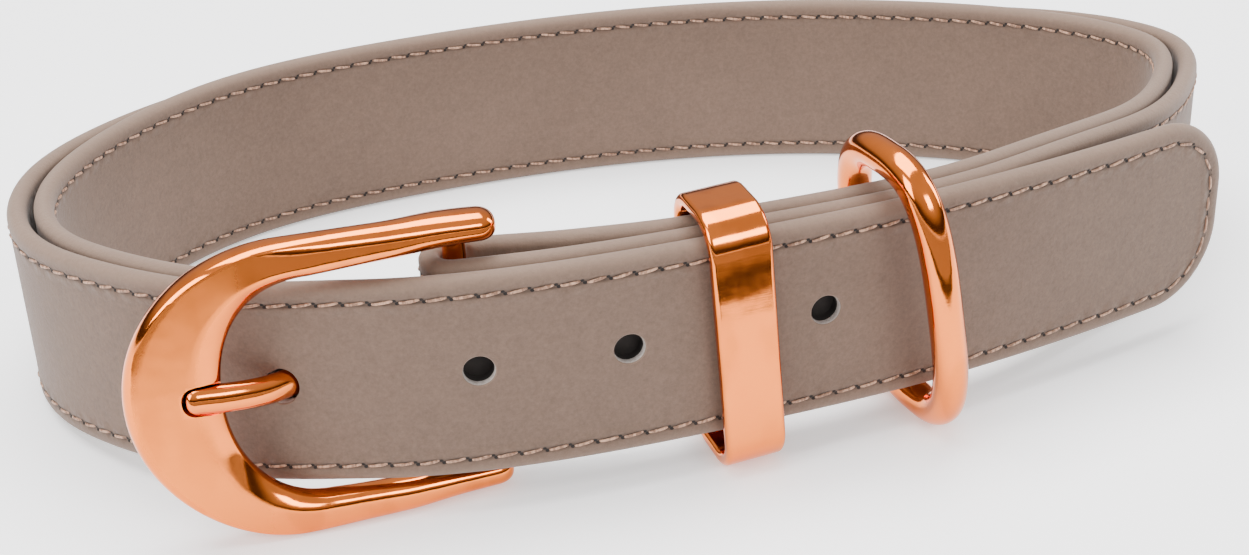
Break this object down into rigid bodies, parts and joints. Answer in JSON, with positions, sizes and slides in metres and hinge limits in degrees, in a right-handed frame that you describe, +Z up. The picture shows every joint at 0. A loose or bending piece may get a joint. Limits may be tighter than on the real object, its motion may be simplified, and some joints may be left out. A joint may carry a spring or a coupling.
{
  "type": "buckled leather dog collar",
  "caption": "Leather dog collar of two plies, closed with a horseshoe buckle and tongue, with a flat metal keeper and an oval leash ring in front.",
  "frame": {"origin": "middle of the collar's footprint, on the surface that it stands on", "axes": "+X runs along the collar's long way, to the right as seen from the buckle side; -Y is the front with the buckle; +Z is up, across the strap's width"},
  "size_m": [0.1584, 0.0962, 0.0367],
  "materials": {
    "leather_outer": "matt taupe nubuck with rolled edges and edge stitching",
    "leather_lining": "matt taupe lining leather with rolled edges and edge stitching",
    "copper_metal": "polished copper-coloured plating"
  },
  "bodies": {
    "root": {"outer_strap": "leather_outer", "lining_strap": "leather_lining", "buckle_frame": "copper_metal", "buckle_tongue": "copper_metal", "keeper_loop": "copper_metal", "leash_ring": "copper_metal"}
  },
  "joints": []
}
